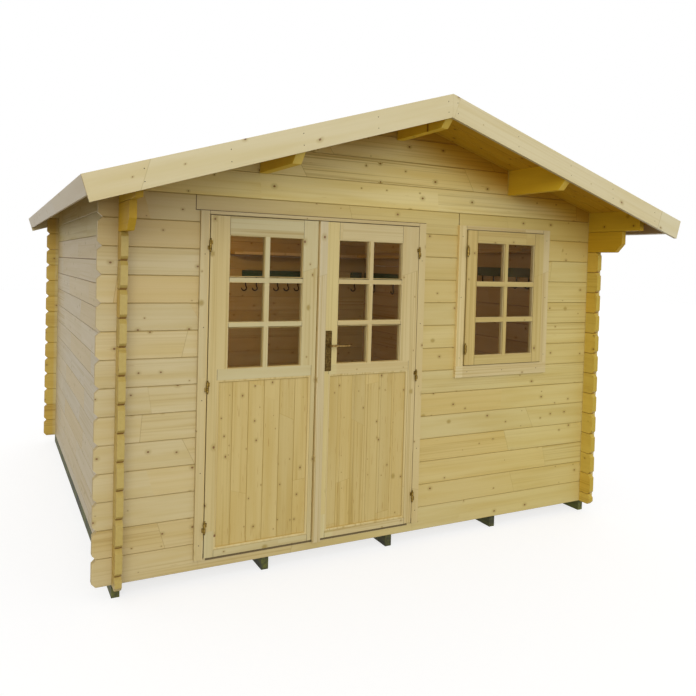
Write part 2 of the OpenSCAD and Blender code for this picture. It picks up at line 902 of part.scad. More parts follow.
module wall_shelves() {
    in1 = wall_w - log_t - settle;
    back = wall_d - log_t - settle;
    top = shelf_z + shelf_t;
    color(wood)
        on_front() {
            block([shelf_x, back - shelf_d, shelf_z], [in1, back, top]);
            block([in1 - shelf_d, side_shelf_y, shelf_z],
                [in1, back - shelf_d - settle, top]);
            block([in1 - shelf_d, near_y, near_shelf_z],
                [in1, near_y + near_len, near_shelf_z + shelf_t]);
        }
}

module hook_rails() {
    in1 = wall_w - log_t - settle;
    back = wall_d - log_t - settle;
    top = rail_z + rail_h;
    color("darkgreen")
        on_front() {
            block([rail_x, back - rail_t, rail_z], [rail_gap_x, back, top]);
            block([rail_gap_x + rail_gap, back - rail_t, rail_z],
                [in1 - 2 * rail_t, back, top]);
            block([in1 - rail_t, side_rail_y, rail_z],
                [in1, back - 2 * rail_t, top]);
            block([in1 - rail_t, near_y, near_rail_z],
                [in1, near_y + near_len, near_rail_z + rail_h]);
        }
}

// ---------- drawing ----------

bearers();
floor_boards();
front_sill_log();
front_wall_left();
front_wall_under_window();
front_wall_pier();
front_wall_right_end();
front_lintel_logs();
front_gable();
back_wall();
back_gable();
left_wall();
right_wall();
left_eave_logs();
right_eave_logs();
ridge_purlin();
left_purlin();
right_purlin();
roof_boards_left();
roof_boards_right();
front_bargeboard_left();
front_bargeboard_right();
rear_bargeboard_left();
rear_bargeboard_right();
left_fascia();
right_fascia();
door_frame();
jamb_hinges();
left_door_frame();
left_door_panel();
left_door_glass();
left_door_hinges();
right_door_frame();
right_door_panel();
right_door_glass();
right_door_hinges();
cover_strip();
handle_plates();
door_lever();
window_frame();
window_sash();
window_glass();
window_hinges();
wall_shelves();
hook_rails();
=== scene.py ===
import bpy
import math
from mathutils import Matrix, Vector


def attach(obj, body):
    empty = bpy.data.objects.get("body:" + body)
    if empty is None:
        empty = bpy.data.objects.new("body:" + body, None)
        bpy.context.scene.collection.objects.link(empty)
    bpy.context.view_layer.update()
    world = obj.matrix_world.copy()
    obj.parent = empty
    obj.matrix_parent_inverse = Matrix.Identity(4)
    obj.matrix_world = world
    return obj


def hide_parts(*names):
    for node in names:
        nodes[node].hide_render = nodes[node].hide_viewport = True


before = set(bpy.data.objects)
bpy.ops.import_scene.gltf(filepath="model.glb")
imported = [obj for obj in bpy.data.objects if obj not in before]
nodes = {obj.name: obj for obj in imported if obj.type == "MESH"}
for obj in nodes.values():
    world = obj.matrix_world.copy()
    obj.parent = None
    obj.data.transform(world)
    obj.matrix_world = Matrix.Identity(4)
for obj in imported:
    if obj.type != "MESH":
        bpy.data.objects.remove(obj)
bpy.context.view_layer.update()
print("frame loaded")

# Shader helpers, then the woods, metals, paint and glass.


def addNode(tree, kind, inputs=None, **values):
    node = tree.nodes.new(kind)
    for key, value in values.items():
        setattr(node, key, value)
    for key, value in (inputs or {}).items():
        socket = node.inputs[key]
        if isinstance(value, bpy.types.NodeSocket):
            tree.links.new(value, socket)
        else:
            socket.default_value = value
    return node


def doMath(tree, operation, a, b=0.0, c=0.0, clamp=False):
    node = addNode(tree, "ShaderNodeMath", {0: a, 1: b, 2: c}, operation=operation, use_clamp=clamp)
    return node.outputs[0]


def smoothStep(tree, value, low, high, toLow=0.0, toHigh=1.0):
    node = addNode(tree, "ShaderNodeMapRange", {0: value, 1: low, 2: high, 3: toLow, 4: toHigh},
                   interpolation_type="SMOOTHSTEP")
    return node.outputs[0]


def mixColour(tree, factor, a, b, blend="MIX"):
    node = addNode(tree, "ShaderNodeMix", data_type="RGBA", blend_type=blend, clamp_factor=True)
    for socket, value in ((node.inputs[0], factor), (node.inputs[6], a), (node.inputs[7], b)):
        if isinstance(value, bpy.types.NodeSocket):
            tree.links.new(value, socket)
        else:
            socket.default_value = value
    return node.outputs[2]


def joinVector(tree, x, y, z=0.0):
    return addNode(tree, "ShaderNodeCombineXYZ", {0: x, 1: y, 2: z}).outputs[0]


def stretchedNoise(tree, axes, scales, detail):
    # noise that is drawn out by its own scale along each axis
    scaled = [doMath(tree, "MULTIPLY", axis, scale) for axis, scale in zip(axes, scales)]
    noise = addNode(tree, "ShaderNodeTexNoise",
                    {"Vector": joinVector(tree, *scaled), "Scale": 1.0, "Detail": detail})
    return noise.outputs["Fac"]


def newMaterial(name, rough=0.5, metal=0.0):
    material = bpy.data.materials.new(name)
    material.use_nodes = True
    tree = material.node_tree
    tree.nodes.clear()
    shader = addNode(tree, "ShaderNodeBsdfPrincipled", {"Roughness": rough, "Metallic": metal})
    out = addNode(tree, "ShaderNodeOutputMaterial")
    tree.links.new(shader.outputs[0], out.inputs[0])
    return material, tree, shader


def rgb(red, green, blue):
    # a colour as a screen shows it, 0 to 255, turned to the linear values that shaders take
    linear = [((v / 255 + 0.055) / 1.055) ** 2.4 if v > 10 else v / 255 / 12.92
              for v in (red, green, blue)]
    return (*linear, 1.0)


# The boards of the roof and the floor, which their woods follow.

roof = {"angle": 17.4, "length": 1.8957, "thick": 0.019, "top": 2.5977, "start": -2.022, "depth": 4.044,
        "count": 42, "gap": 0.0003, "groove": 0.004, "edge": 0.0015, "overlap": 0.03}
flooring = {"low": (-1.5605, -1.4835, 0.065), "high": (1.5605, 1.7075, 0.084), "count": 33, "gap": 0.0003,
            "groove": 0.0025}
roofFall = math.tan(math.radians(roof["angle"]))
roofPitch = roof["depth"] / roof["count"]
floorPitch = (flooring["high"][1] - flooring["low"][1]) / flooring["count"]

spruce = {
    "grain": "x",            # axis the fibres run along
    "across": "z",           # axis the boards are counted along
    "board": 0.14,           # width of a log or board
    "start": 0.065,          # where the first board begins
    "fall": 0.0,             # how steeply a board that follows the roof comes down
    "pale": rgb(199, 182, 124),
    "deep": rgb(186, 163, 92),
    "honey": rgb(184, 154, 76),
    "streak": rgb(158, 130, 54),
    "end": rgb(178, 150, 72),
    "knot": rgb(104, 60, 14),
    "spot": rgb(146, 122, 46),
    "groove": rgb(140, 114, 44),
    "knotCell": 0.105,       # distance between the places that can hold a small knot
    "knots": 0.42,           # share of those places that hold one
    "spotScale": 2.6,        # how many places in a metre can hold a large soft knot
    "spots": 0.30,           # share of those places that hold one
    "piece": 1.15,           # length between the finger joints
    "joint": 0.55,           # how strongly those joints show
    "seam": 0.48,            # how dark the grooves between boards are
    "seamWidth": 0.0034,
    "tone": 0.055,           # how far one board differs from the next
    "figure": 1.0,           # strength of the growth rings
    "rough": 0.52,
    "shine": 0.5,            # strength of the reflections
    "butts": (),             # where logs meet end to end: along the grain, foot, top
    "rails": (),             # level boards among upright ones: left, right, foot, top
    "notch": 0.0,            # how dark the painted shade is on the undersides where bevelled log ends meet
    "resin": 0.0,            # share of short amber streaks
    "bands": (),             # fine painted shadow lines where one part stands proud of another: left, right, foot, top
    "tints": (),             # colour to multiply by, then axis, from, to, once or twice
}
grain = {                    # scales along the fibres, across them and through the board, and detail
    "clouds": ((1.4, 16.0, 8.0), 3.0),
    "streaks": ((0.7, 95.0, 40.0), 2.0),
    "fibres": ((6.0, 520.0, 520.0), 1.0),
    "resin": ((9.0, 190.0), 1.0),
}
resinAmber = rgb(150, 108, 26)
# brown of the cracks between butted logs, and of the painted shadow lines
crackAndShadowBrown = rgb(84, 66, 26)
railLine, crackLine = 0.0011, 0.0026    # half the width of the lines beside rails and between logs


def railMask(tree, place, rails):
    # 1 in the level boards, and a fine line where an upright board butts against one
    inside, line = 0.0, 0.0
    for left, right, foot, top in rails:
        half = (right - left) / 2
        level = doMath(tree, "COMPARE", place["z"], (foot + top) / 2, (top - foot) / 2)
        offset = doMath(tree, "ABSOLUTE", doMath(tree, "SUBTRACT", place["x"], (left + right) / 2))
        within = doMath(tree, "MULTIPLY", level, doMath(tree, "LESS_THAN", offset, half))
        beside = doMath(tree, "MULTIPLY", level, doMath(tree, "COMPARE", offset, half, railLine))
        inside = doMath(tree, "MAXIMUM", inside, within)
        line = doMath(tree, "MAXIMUM", line, beside)
    return inside, line


def spruceMaterial(name, **changes):
    wood = dict(spruce, **changes)
    material, tree, shader = newMaterial(name, rough=wood["rough"])
    shader.inputs["Specular IOR Level"].default_value = wood["shine"]
    coord = addNode(tree, "ShaderNodeTexCoord")
    axes = addNode(tree, "ShaderNodeSeparateXYZ", {0: coord.outputs["Object"]})
    place = dict(zip("xyz", axes.outputs))
    along, across = place[wood["grain"]], place[wood["across"]]
    third = place[({"x", "y", "z"} - {wood["grain"], wood["across"]}).pop()]
    if wood["fall"]:
        across = doMath(tree, "MULTIPLY_ADD", doMath(tree, "ABSOLUTE", place["x"]), wood["fall"], across)
    turned, jointsAndShadowLines = railMask(tree, place, wood["rails"])
    if wood["rails"]:
        along, across = (doMath(tree, "MULTIPLY_ADD", turned, doMath(tree, "SUBTRACT", b, a), a)
                         for a, b in ((along, across), (across, along)))

    # each board has its own number, and so has each length between two finger joints
    counted = doMath(tree, "DIVIDE", doMath(tree, "SUBTRACT", across, wood["start"]), wood["board"])
    index = doMath(tree, "MULTIPLY_ADD", turned, 31.0, doMath(tree, "FLOOR", counted))
    inBoard = doMath(tree, "MULTIPLY", doMath(tree, "FRACT", counted), wood["board"])
    pick = addNode(tree, "ShaderNodeTexWhiteNoise", {"W": index}, noise_dimensions="1D")
    number = addNode(tree, "ShaderNodeSeparateColor", {0: pick.outputs["Color"]})
    run = doMath(tree, "MULTIPLY_ADD", number.outputs[0], 9.0, along)
    slant = doMath(tree, "MULTIPLY_ADD", number.outputs[1], 1.3, -0.5)
    lean = doMath(tree, "DIVIDE", doMath(tree, "MULTIPLY_ADD", inBoard, slant, run), wood["piece"])
    length = doMath(tree, "MULTIPLY", doMath(tree, "FRACT", lean), wood["piece"])
    own = addNode(tree, "ShaderNodeTexWhiteNoise",
                  {"Vector": joinVector(tree, index, doMath(tree, "FLOOR", lean))}, noise_dimensions="2D")
    part = addNode(tree, "ShaderNodeSeparateColor", {0: own.outputs["Color"]})
    shift = doMath(tree, "MULTIPLY_ADD", part.outputs[0], 40.0, run)

    # small dark knots and a few large soft ones
    at = joinVector(tree, doMath(tree, "MULTIPLY", shift, 0.8), across)
    small = addNode(tree, "ShaderNodeTexVoronoi", {"Vector": at, "Scale": 1 / wood["knotCell"]},
                    voronoi_dimensions="2D", feature="F1")
    chance = addNode(tree, "ShaderNodeSeparateColor", {0: small.outputs["Color"]})
    held = doMath(tree, "LESS_THAN", chance.outputs[0], wood["knots"])
    radius = doMath(tree, "MULTIPLY_ADD", chance.outputs[1], 0.040, 0.014)
    near = doMath(tree, "DIVIDE", small.outputs["Distance"], radius)
    knot = doMath(tree, "MULTIPLY", held, smoothStep(tree, near, 0.7, 1.25, 1.0, 0.0))
    ring = doMath(tree, "MULTIPLY", held, smoothStep(tree, near, 0.9, 4.2, 1.0, 0.0))
    large = addNode(tree, "ShaderNodeTexVoronoi", {"Vector": at, "Scale": wood["spotScale"]},
                    voronoi_dimensions="2D", feature="F1")
    luck = addNode(tree, "ShaderNodeSeparateColor", {0: large.outputs["Color"]})
    spot = doMath(tree, "MULTIPLY", doMath(tree, "LESS_THAN", luck.outputs[0], wood["spots"]),
                  smoothStep(tree, large.outputs["Distance"], 0.012, 0.05, 1.0, 0.0))

    # soft clouds, growth rings that show strongly on some lengths, and fine fibres
    bend = doMath(tree, "MULTIPLY_ADD", doMath(tree, "MAXIMUM", ring, spot), 0.010, across)
    clouds, streaks, fibres = (stretchedNoise(tree, (shift, bend, third), *grain[kind])
                               for kind in ("clouds", "streaks", "fibres"))
    cloud = smoothStep(tree, clouds, 0.34, 0.74)
    strong = doMath(tree, "MULTIPLY_ADD", doMath(tree, "POWER", part.outputs[1], 2.5),
                    0.62 * wood["figure"], 0.10 * wood["figure"])
    streak = doMath(tree, "MULTIPLY", smoothStep(tree, streaks, 0.46, 0.70), strong)
    soft = doMath(tree, "MULTIPLY_ADD", fibres, 0.22, doMath(tree, "MULTIPLY", cloud, 0.62))
    colour = mixColour(tree, soft, wood["pale"], wood["deep"])
    rich = doMath(tree, "MULTIPLY", doMath(tree, "POWER", part.outputs[2], 3.0), 0.55)
    colour = mixColour(tree, rich, colour, wood["honey"])
    colour = mixColour(tree, streak, colour, wood["streak"])
    if wood["resin"]:
        drops = stretchedNoise(tree, (shift, across), *grain["resin"])
        low = 0.80 - 0.12 * wood["resin"]
        colour = mixColour(tree, smoothStep(tree, drops, low, low + 0.05, 0.0, 0.6), colour, resinAmber)
    boardTone = doMath(tree, "MULTIPLY_ADD", number.outputs[2], wood["tone"], 1.0 - wood["tone"])
    pieceTone = doMath(tree, "MULTIPLY_ADD", part.outputs[2], wood["tone"], -0.5 * wood["tone"])
    tone = doMath(tree, "ADD", boardTone, pieceTone)
    colour = mixColour(tree, 1.0, colour, joinVector(tree, tone, tone, tone), "MULTIPLY")
    colour = mixColour(tree, doMath(tree, "MULTIPLY", spot, 0.75), colour, wood["spot"])
    colour = mixColour(tree, doMath(tree, "MULTIPLY", ring, 0.42), colour, wood["spot"])
    colour = mixColour(tree, doMath(tree, "MULTIPLY", knot, 0.88), colour, wood["knot"])

    # finger joints, and the grooves where two boards meet
    finger = doMath(tree, "MULTIPLY", smoothStep(tree, length, 0.0016, 0.0042, 1.0, 0.0),
                    doMath(tree, "MULTIPLY", smoothStep(tree, part.outputs[0], 0.2, 0.7), wood["joint"]))
    edge = doMath(tree, "MINIMUM", inBoard, doMath(tree, "SUBTRACT", wood["board"], inBoard))
    seam = doMath(tree, "MULTIPLY", smoothStep(tree, edge, 0.0006, wood["seamWidth"], 1.0, 0.0), wood["seam"])
    seam = doMath(tree, "MULTIPLY", seam, doMath(tree, "SUBTRACT", 1.0, turned))
    for end, foot, top in wood["butts"]:
        level = doMath(tree, "COMPARE", across, (foot + top) / 2, (top - foot) / 2)
        crack = doMath(tree, "COMPARE", along, end, crackLine)
        jointsAndShadowLines = doMath(tree, "MAXIMUM", jointsAndShadowLines, doMath(tree, "MULTIPLY", level, crack))
    # painted shadow lines, darkened the same way as the cracks
    for left, right, foot, top in wood["bands"]:
        level = doMath(tree, "COMPARE", place["z"], (foot + top) / 2, (top - foot) / 2)
        crack = doMath(tree, "COMPARE", place["x"], (left + right) / 2, (right - left) / 2)
        jointsAndShadowLines = doMath(tree, "MAXIMUM", jointsAndShadowLines, doMath(tree, "MULTIPLY", level, crack))
    lines = doMath(tree, "MAXIMUM", finger, seam)
    lines = doMath(tree, "MAXIMUM", lines, doMath(tree, "MULTIPLY", jointsAndShadowLines, 0.95))
    colour = mixColour(tree, lines, colour, mixColour(tree, jointsAndShadowLines, wood["groove"], crackAndShadowBrown))

    # end grain, where a face looks along the fibres
    facing = dict(zip("xyz", addNode(tree, "ShaderNodeSeparateXYZ", {0: coord.outputs["Normal"]}).outputs))
    ends = smoothStep(tree, doMath(tree, "ABSOLUTE", facing[wood["grain"]]), 0.6, 0.75)
    ends = doMath(tree, "MULTIPLY", ends, doMath(tree, "SUBTRACT", 1.0, turned))
    rings = addNode(tree, "ShaderNodeTexNoise", {"Vector": joinVector(tree, across, third, number.outputs[0]),
                                                 "Scale": 55.0, "Detail": 3.0})
    endShade = doMath(tree, "MULTIPLY", rings.outputs["Fac"], 0.45)
    colour = mixColour(tree, ends, colour, mixColour(tree, endShade, wood["end"], wood["spot"]))
    place["up"] = facing["z"]
    place["roof"] = doMath(tree, "MULTIPLY_ADD", doMath(tree, "ABSOLUTE", place["x"]), roofFall, place["z"])
    # painted shade: faces that look down, near a log's edge, turn towards the knots' brown
    if wood["notch"]:
        dark = doMath(tree, "MULTIPLY", smoothStep(tree, facing["z"], -0.6, -0.3, wood["notch"], 0.0),
                      smoothStep(tree, edge, 0.003, 0.015, 1.0, 0.0))
        colour = mixColour(tree, dark, colour, wood["knot"])
    for tint, *zones in wood["tints"]:
        weight = 1.0
        for axis, low, high in zones:
            weight = doMath(tree, "MULTIPLY", weight, smoothStep(tree, place[axis], low, high))
        colour = mixColour(tree, weight, colour, tint, "MULTIPLY")
    tree.links.new(colour, shader.inputs["Base Color"])

    grooves = doMath(tree, "MULTIPLY", lines, 0.8)
    height = doMath(tree, "SUBTRACT", doMath(tree, "MULTIPLY", soft, 0.5), grooves)
    bump = addNode(tree, "ShaderNodeBump", {"Strength": 0.15, "Distance": 0.002, "Height": height})
    tree.links.new(bump.outputs[0], shader.inputs["Normal"])
    return material


def stainedMaterial(name, light, dark, rough=0.7):
    material, tree, shader = newMaterial(name, rough=rough)
    coord = addNode(tree, "ShaderNodeTexCoord")
    stretch = addNode(tree, "ShaderNodeVectorMath", {0: coord.outputs["Object"], 1: (60.0, 3.0, 60.0)},
                      operation="MULTIPLY")
    streaks = addNode(tree, "ShaderNodeTexNoise", {"Vector": stretch.outputs[0], "Scale": 1.0, "Detail": 4.0})
    patches = addNode(tree, "ShaderNodeTexNoise", {"Vector": coord.outputs["Object"], "Scale": 5.0})
    both = doMath(tree, "MULTIPLY", streaks.outputs["Fac"], patches.outputs["Fac"])
    colour = mixColour(tree, smoothStep(tree, both, 0.12, 0.42), dark, light)
    tree.links.new(colour, shader.inputs["Base Color"])
    bump = addNode(tree, "ShaderNodeBump", {"Strength": 0.25, "Distance": 0.002, "Height": both})
    tree.links.new(bump.outputs[0], shader.inputs["Normal"])
    return material


def metalMaterial(name, bright, dull, rough=0.35):
    material, tree, shader = newMaterial(name, rough=rough, metal=1.0)
    coord = addNode(tree, "ShaderNodeTexCoord")
    wear = addNode(tree, "ShaderNodeTexNoise",
                   {"Vector": coord.outputs["Object"], "Scale": 90.0, "Detail": 4.0})
    colour = mixColour(tree, smoothStep(tree, wear.outputs["Fac"], 0.4, 0.65), dull, bright)
    tree.links.new(colour, shader.inputs["Base Color"])
    tree.links.new(smoothStep(tree, wear.outputs["Fac"], 0.3, 0.7, rough + 0.12, rough - 0.06),
                   shader.inputs["Roughness"])
    return material


def glassMaterial(name):
    # mostly clear, so that the room is lit through it; its brown tint is painted shade of the dim room
    # behind, mottled by noise in colour and clearness
    material, tree, shader = newMaterial(name, rough=0.03)
    coord = addNode(tree, "ShaderNodeTexCoord")
    mottle = addNode(tree, "ShaderNodeTexNoise",
                   {"Vector": coord.outputs["Object"], "Scale": 7.0, "Detail": 5.0})
    tint = mixColour(tree, mottle.outputs["Fac"], rgb(84, 58, 28), rgb(118, 90, 48))
    tree.links.new(tint, shader.inputs["Base Color"])
    tree.links.new(smoothStep(tree, mottle.outputs["Fac"], 0.3, 0.8, 0.05, 0.13), shader.inputs["Alpha"])
    shader.inputs["IOR"].default_value = 1.5
    return material


# painted warm shade on the log ends that stick out past the corners
warmEndShade = (1.0, 0.86, 0.36, 1.0)
# Front wall: the butt lines at the lintel's ends are dark joints and also painted shadow of its proud edge,
# and the last two tints are painted warm shade under the roof's overhang.
frontLogs = spruceMaterial("spruceFront", butts=((-1.212, 1.945, 2.025), (0.450, 1.885, 2.025)),
                           bands=((-1.125, 0.128, 0.108, 0.1195), (-1.212, 0.205, 1.9446, 1.9496)),
                           resin=0.3, figure=0.75,
                           tints=(((1.0, 1.01, 1.25, 1.0), ("x", 0.1, -1.2)),
                                  ((1.0, 1.0, 0.88, 1.0), ("x", 0.4, 1.2)),
                                  ((1.03, 0.99, 0.79, 1.0), ("z", 1.80, 2.05)),
                                  ((0.98, 0.88, 0.62, 1.0), ("z", 1.75, 2.0), ("x", 0.9, 1.5))))
backLogs = spruceMaterial("spruceBack", tints=((warmEndShade, ("x", -1.60, -1.63)), (warmEndShade, ("x", 1.60, 1.63))))
# Gables: paler than the other spruce, as painted light against the roof's shade; deep amber near the roof and
# a warmer upper band are painted shade under the overhang, and the left part is painted lighter.
gableLogs = spruceMaterial("spruceGable", shine=0.15, resin=0.3,
                           pale=rgb(222, 206, 146), deep=rgb(210, 186, 110),
                           tints=(((0.76, 0.54, 0.12, 1.0), ("roof", 2.34, 2.54), ("x", -0.75, 0.1)),
                                  ((1.0, 0.90, 0.62, 1.0), ("z", 2.10, 2.25), ("x", -0.2, 0.6)),
                                  ((1.13, 1.14, 1.10, 1.0), ("x", -0.3, -0.9))))
sideWood = {"grain": "y", "start": -0.005, "pale": rgb(192, 177, 146), "deep": rgb(178, 160, 118)}
leftLogs = spruceMaterial("spruceLeft", **sideWood, notch=0.85, end=rgb(180, 170, 140),
                          tints=((warmEndShade, ("y", -1.50, -1.53)), (warmEndShade, ("y", 1.73, 1.76))))
# Right wall: its front log ends get painted light, a brighter warm yellow, and its inner face gets painted
# shade, darker.
rightLogs = spruceMaterial("spruceRight", **sideWood, notch=0.85, end=rgb(150, 136, 76),
                           tints=(((1.42, 1.24, 0.32, 1.0), ("y", -1.50, -1.53)), (warmEndShade, ("y", 1.73, 1.76)),
                                  ((0.80, 0.76, 0.68, 1.0), ("x", 1.572, 1.564), ("y", -1.50, -1.45))))
# the front ends of the eave logs are tinted strong yellow: painted warm light
eaveLogs = spruceMaterial("spruceEave", shine=0.15, grain="y", start=-0.005, end=rgb(172, 152, 116),
                          tints=(((1.22, 1.0, 0.16, 1.0), ("y", -1.50, -1.53)),))
# the purlins' front ends are tinted bright yellow, painted warm light, and more amber towards the right,
# painted shade
purlinWood = spruceMaterial("sprucePurlin", shine=0.15, grain="y", across="x", board=0.4, start=-1.8,
                            seam=0.0, end=rgb(180, 168, 180),
                            tints=(((1.40, 1.22, 0.28, 1.0), ("y", -1.50, -1.54)),
                                   ((1.05, 0.98, 0.60, 1.0), ("y", -1.50, -1.54), ("x", -0.5, 0.4))))
# faces of the roof boards that look down are painted deep amber: painted shade under the roof
roofWood = {"shine": 0.15, "across": "y", "board": roofPitch, "piece": 2.4, "knots": 0.5,
            "tints": (((1.06, 0.76, 0.10, 1.0), ("up", -0.4, -0.7)),)}
roofBoardsLeft = spruceMaterial("spruceRoofLeft", start=roof["start"], **roofWood)
# its boards are counted on from the left side's, so that the two sides don't match
roofBoardsRight = spruceMaterial("spruceRoofRight", start=roof["start"] - 60 * roofPitch, **roofWood)
floorBoards = spruceMaterial("spruceFloor", across="y", board=floorPitch, start=flooring["low"][1])
wholeBoard = {"board": 3.0, "start": 1.0, "seam": 0.0, "knots": 0.3}
bargeBoards = spruceMaterial("spruceBarge", **wholeBoard, fall=roofFall, piece=1.6, spots=0.2, figure=0.25,
                             pale=rgb(208, 198, 162), deep=rgb(196, 182, 134))
fasciaBoards = spruceMaterial("spruceFascia", **wholeBoard, grain="y", piece=2.2, figure=0.4,
                              pale=rgb(200, 190, 170), deep=rgb(186, 172, 148))
treatedWood = stainedMaterial("treatedBearer", rgb(92, 94, 26), rgb(36, 36, 8))
greenPaint = stainedMaterial("greenPaint", rgb(24, 84, 58), rgb(14, 58, 40), rough=0.6)
clearGlass = glassMaterial("clearGlass")
brassMetal = metalMaterial("satinBrass", rgb(148, 122, 60), rgb(100, 80, 36), rough=0.45)
leverMetal = metalMaterial("leverBrass", rgb(160, 132, 80), rgb(112, 88, 46), rough=0.4)
antiqueMetal = metalMaterial("antiqueBrass", rgb(104, 84, 44), rgb(74, 56, 26), rough=0.5)
darkMetal = metalMaterial("darkIron", rgb(40, 34, 28), rgb(20, 16, 13), rough=0.6)

# Joinery: upright boards, with the level rails and bars of each piece named by their edges.


def railsAt(left, right, *levels):
    return tuple((left, right, foot, top) for foot, top in levels)


def leafRails(left, right, panelLeft, panelRight):
    return (railsAt(panelLeft, panelRight, leafLevels["foot"], leafLevels["middle"])
            + railsAt(left, right, leafLevels["top"], *leafLevels["bars"]))


def joineryWood(name, start, **changes):
    return spruceMaterial(name, start=start, **dict(joinery, **changes))


leafLevels = {"foot": (0.129, 0.165), "middle": (1.062, 1.119), "top": (1.822, 1.922),
              "bars": ((1.336, 1.362), (1.579, 1.605))}
joinery = {"grain": "z", "across": "x", "board": 0.6, "seam": 0.0, "piece": 1.7, "joint": 0.35,
           "pale": rgb(198, 181, 132), "deep": rgb(186, 163, 106), "honey": rgb(188, 162, 96),
           "knotCell": 0.12, "knots": 0.34}
leafGap = ("x", -0.5182, -0.5188)       # the faces between the leaves, painted lighter against the shadow in the gap
leftLeafWood = joineryWood("leafWoodLeft", -0.87, pale=rgb(194, 182, 136), deep=rgb(183, 165, 112),
                           rails=leafRails(-1.034, -0.613, -1.088, -0.550))
rightLeafWood = joineryWood("leafWoodRight", -0.19, rails=leafRails(-0.392, 0.029, -0.441, 0.091),
                            tints=(((1.55, 1.50, 1.40, 1.0), leafGap),
                                   ((1.04, 1.10, 1.12, 1.0), ("x", -0.38, -0.40))))
doorFrameWood = joineryWood("doorFrameWood", -0.55,
                            rails=railsAt(-1.143, 0.146, (1.926, 1.947), (0.120, 0.153)))
# its face in the gap between the leaves is painted light against the shadow there
stripWood = joineryWood("coverStripWood", -0.70, pale=rgb(198, 184, 146), deep=rgb(186, 169, 124),
                        tints=(((1.4, 1.35, 1.2, 1.0), leafGap),))
# the left side face of the window's trim is painted light against the shade beside the wall
windowWood = joineryWood("windowFrameWood", 0.80,
                         rails=((0.430, 1.198, 0.995, 1.068), (0.497, 1.131, 1.926, 1.950)),
                         tints=(((1.12, 1.17, 1.32, 1.0), ("x", 0.500, 0.492)),
                                ((1.35, 1.30, 1.15, 1.0), ("x", 0.4435, 0.4425))))
sashWood = joineryWood("windowSashWood", 0.80, pale=rgb(188, 168, 104), deep=rgb(172, 146, 76),
                       rails=railsAt(0.577, 1.051, (1.073, 1.130), (1.846, 1.921), (1.345, 1.371),
                                     (1.572, 1.598)))
# faces of the beads that look up are painted lighter and bluer: painted light from above
beadWood = joineryWood("beadWood", -0.55, pale=rgb(204, 188, 136), deep=rgb(190, 166, 104),
                       tints=(((1.2, 1.2, 1.45, 1.0), ("up", 0.2, 0.6)),))
panelWood = joineryWood("panelWood", -1.0876, board=0.5372 / 6, seam=0.55, piece=0.9, joint=0.45, tone=0.07,
                        pale=rgb(196, 174, 112), deep=rgb(182, 154, 80), groove=rgb(156, 128, 50),
                        knotCell=0.085, knots=0.55, resin=1.0)
# shelves: a paler copy of the spruce, painted light so that their edges stand out lit
shelfWood = spruceMaterial("shelfWood", across="y", board=0.11, start=-1.5, seam=0.3,
                           pale=rgb(232, 214, 160), deep=rgb(220, 198, 134))

finishes = {
    "bearers": treatedWood, "floor_boards": floorBoards, "front_sill_log": frontLogs,
    "front_wall_left": frontLogs, "front_wall_under_window": frontLogs, "front_wall_pier": frontLogs,
    "front_wall_right_end": frontLogs, "front_lintel_logs": frontLogs, "front_gable": gableLogs,
    "back_wall": backLogs, "back_gable": gableLogs, "left_wall": leftLogs, "right_wall": rightLogs,
    "left_eave_logs": eaveLogs, "right_eave_logs": eaveLogs, "ridge_purlin": purlinWood,
    "left_purlin": purlinWood, "right_purlin": purlinWood, "roof_boards_left": roofBoardsLeft,
    "roof_boards_right": roofBoardsRight, "front_bargeboard_left": bargeBoards,
    "front_bargeboard_right": bargeBoards, "rear_bargeboard_left": bargeBoards,
    "rear_bargeboard_right": bargeBoards, "left_fascia": fasciaBoards, "right_fascia": fasciaBoards,
    "door_frame": doorFrameWood, "jamb_hinges": brassMetal, "left_door_frame": leftLeafWood,
    "left_door_panel": panelWood, "left_door_glass": clearGlass, "left_door_hinges": brassMetal,
    "right_door_frame": rightLeafWood, "right_door_panel": panelWood, "right_door_glass": clearGlass,
    "right_door_hinges": brassMetal, "cover_strip": stripWood, "handle_plates": antiqueMetal,
    "door_lever": leverMetal, "window_frame": windowWood, "window_sash": sashWood,
    "window_glass": clearGlass, "window_hinges": brassMetal, "wall_shelves": shelfWood,
    "hook_rails": greenPaint,
}
for name, material in finishes.items():
    nodes[name].data.materials.clear()
    nodes[name].data.materials.append(material)
print("materials on the frame")

# Modelling helpers.


def clearSelection():
    if bpy.context.object and bpy.context.object.mode != "OBJECT":
        bpy.ops.object.mode_set(mode="OBJECT")
    bpy.ops.object.select_all(action="DESELECT")


def chooseOnly(*pieces):
    clearSelection()
    for piece in pieces:
        piece.select_set(True)
    bpy.context.view_layer.objects.active = pieces[0]


def applyPlace(piece, name):
    piece.name = piece.data.name = name
    bpy.ops.object.transform_apply(location=True, rotation=True, scale=True)
    return piece


def addBlock(name, low, high):
    clearSelection()
    bpy.ops.mesh.primitive_cube_add(size=1, location=[(a + b) / 2 for a, b in zip(low, high)],
                                    scale=[b - a for a, b in zip(low, high)])
    return applyPlace(bpy.context.object, name)


def addRod(name, centre, radius, depth, axis="Z", sides=16):
    turn = {"X": (0, math.radians(90), 0), "Y": (math.radians(90), 0, 0), "Z": (0, 0, 0)}[axis]
    clearSelection()
    bpy.ops.mesh.primitive_cylinder_add(vertices=sides, radius=radius, depth=depth, location=centre,
                                        rotation=turn)
    return applyPlace(bpy.context.object, name)


def editMode(piece, kind="FACE"):
    chooseOnly(piece)
    bpy.ops.object.mode_set(mode="EDIT")
    bpy.ops.mesh.select_mode(type=kind)


def editFaces(piece, test):
    # edit mode, with only those faces chosen whose centre and normal pass the test
    editMode(piece)
    bpy.ops.mesh.select_all(action="DESELECT")
    bpy.ops.object.mode_set(mode="OBJECT")
    for face in piece.data.polygons:
        face.select = bool(test(face.center, face.normal))
    bpy.ops.object.mode_set(mode="EDIT")


